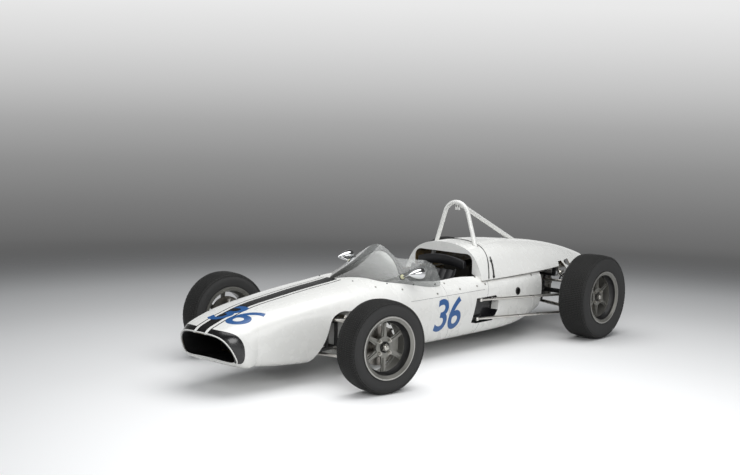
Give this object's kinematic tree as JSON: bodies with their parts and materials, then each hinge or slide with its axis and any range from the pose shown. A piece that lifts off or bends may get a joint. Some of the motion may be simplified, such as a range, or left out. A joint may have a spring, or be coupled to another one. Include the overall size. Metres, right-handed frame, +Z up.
{
  "type": "open wheel racing car",
  "caption": "Single seat open wheel racing car with a slim nose, wrap-round screen, roll hoop, exposed suspension and rear engine.",
  "frame": {"origin": "on the ground, in the middle of the car's overall box", "axes": "+X forwards to the nose, +Y to the driver's left, +Z up"},
  "size_m": [3.7852, 1.6196, 0.975],
  "materials": {
    "body_white": "gloss white glass fibre",
    "tub_white": "gloss white painted sheet",
    "screen_clear": "clear acrylic",
    "mirror_chrome": "chromed shell with glass",
    "seat_black": "black padded vinyl",
    "dash_black": "matt black panel with a white hoop",
    "hoop_white": "white painted steel tube",
    "core_black": "black radiator core",
    "frame_black": "satin black steel tube",
    "rack_alloy": "cast housing",
    "plated_steel": "bright plated steel",
    "spring_dark": "dark spring and damper",
    "upright_alloy": "cast alloy",
    "disc_iron": "turned iron",
    "wheel_grey": "cast magnesium with a dull grey coat",
    "tyre_rubber": "black rubber",
    "grip_black": "black leather rim on plain alloy spokes",
    "engine_alloy": "cast alloy",
    "gearbox_alloy": "cast magnesium",
    "exhaust_steel": "grey steel"
  },
  "bodies": {
    "chassis": {"nose_body": "body_white", "tub": "tub_white", "cockpit_surround": "body_white", "engine_cover": "body_white", "side_panel_left": "body_white", "side_panel_right": "body_white", "windscreen": "screen_clear", "mirror_left": "mirror_chrome", "mirror_right": "mirror_chrome", "seat": "seat_black", "dash_panel": "dash_black", "roll_hoop": "hoop_white", "radiator": "core_black", "front_frame": "frame_black", "steering_rack": "rack_alloy", "front_wishbones_left": "plated_steel", "front_wishbones_right": "plated_steel", "front_dampers": "spring_dark", "rear_links_left": "plated_steel", "rear_links_right": "plated_steel", "rear_dampers": "spring_dark", "upright_rl": "upright_alloy", "upright_rr": "upright_alloy", "engine": "engine_alloy", "gearbox": "gearbox_alloy", "rear_frame": "frame_black", "exhaust": "exhaust_steel"},
    "knuckle_left": {"upright_fl": "upright_alloy"},
    "knuckle_right": {"upright_fr": "upright_alloy"},
    "wheel_fl": {"rim_fl": "wheel_grey", "tyre_fl": "tyre_rubber", "disc_fl": "disc_iron"},
    "wheel_fr": {"rim_fr": "wheel_grey", "tyre_fr": "tyre_rubber", "disc_fr": "disc_iron"},
    "wheel_rl": {"rim_rl": "wheel_grey", "tyre_rl": "tyre_rubber", "disc_rl": "disc_iron", "driveshaft_left": "plated_steel"},
    "wheel_rr": {"rim_rr": "wheel_grey", "tyre_rr": "tyre_rubber", "disc_rr": "disc_iron", "driveshaft_right": "plated_steel"},
    "rack": {"rack_bar": "plated_steel"},
    "steering": {"steering_column": "plated_steel", "steering_wheel": "grip_black"}
  },
  "joints": [
    {"name": "steer_left", "type": "hinge", "parent": "chassis", "child": "knuckle_left", "pos_m": [1.1075, 0.62, 0.2705], "axis": [0, 0, 1], "range_deg": [-9.3, 30.7]},
    {"name": "steer_right", "type": "hinge", "parent": "chassis", "child": "knuckle_right", "pos_m": [1.1075, -0.62, 0.2705], "axis": [0, 0, 1], "range_deg": [-9.4, 30.8]},
    {"name": "rack_slide", "type": "slide", "parent": "chassis", "child": "rack", "axis": [0, 1, 0], "range_m": [-0.0588, 0.0185]},
    {"name": "steering_wheel_turn", "type": "hinge", "parent": "chassis", "child": "steering", "pos_m": [0.2575, 0, 0.505], "axis": [-0.9877, 0, 0.1561], "range_deg": [-94, 308]},
    {"name": "front_left_wheel_spin", "type": "hinge", "parent": "knuckle_left", "child": "wheel_fl", "pos_m": [1.11975, 0.68485, 0.2705], "axis": [0.1857, 0.9826, 0], "continuous": true},
    {"name": "front_right_wheel_spin", "type": "hinge", "parent": "knuckle_right", "child": "wheel_fr", "pos_m": [1.09525, -0.68485, 0.2705], "axis": [0.1857, 0.9826, 0], "continuous": true},
    {"name": "rear_left_wheel_spin", "type": "hinge", "parent": "chassis", "child": "wheel_rl", "pos_m": [-1.2025, 0.649, 0.297], "axis": [0, 1, 0], "continuous": true},
    {"name": "rear_right_wheel_spin", "type": "hinge", "parent": "chassis", "child": "wheel_rr", "pos_m": [-1.2025, -0.649, 0.297], "axis": [0, 1, 0], "continuous": true}
  ],
  "couplings": [
    {"joint": "steer_right", "follows": "steer_left", "ratio": 1},
    {"joint": "rack_slide", "follows": "steer_left", "m_per_rad": -0.10778},
    {"joint": "steering_wheel_turn", "follows": "steer_left", "ratio": 10}
  ]
}
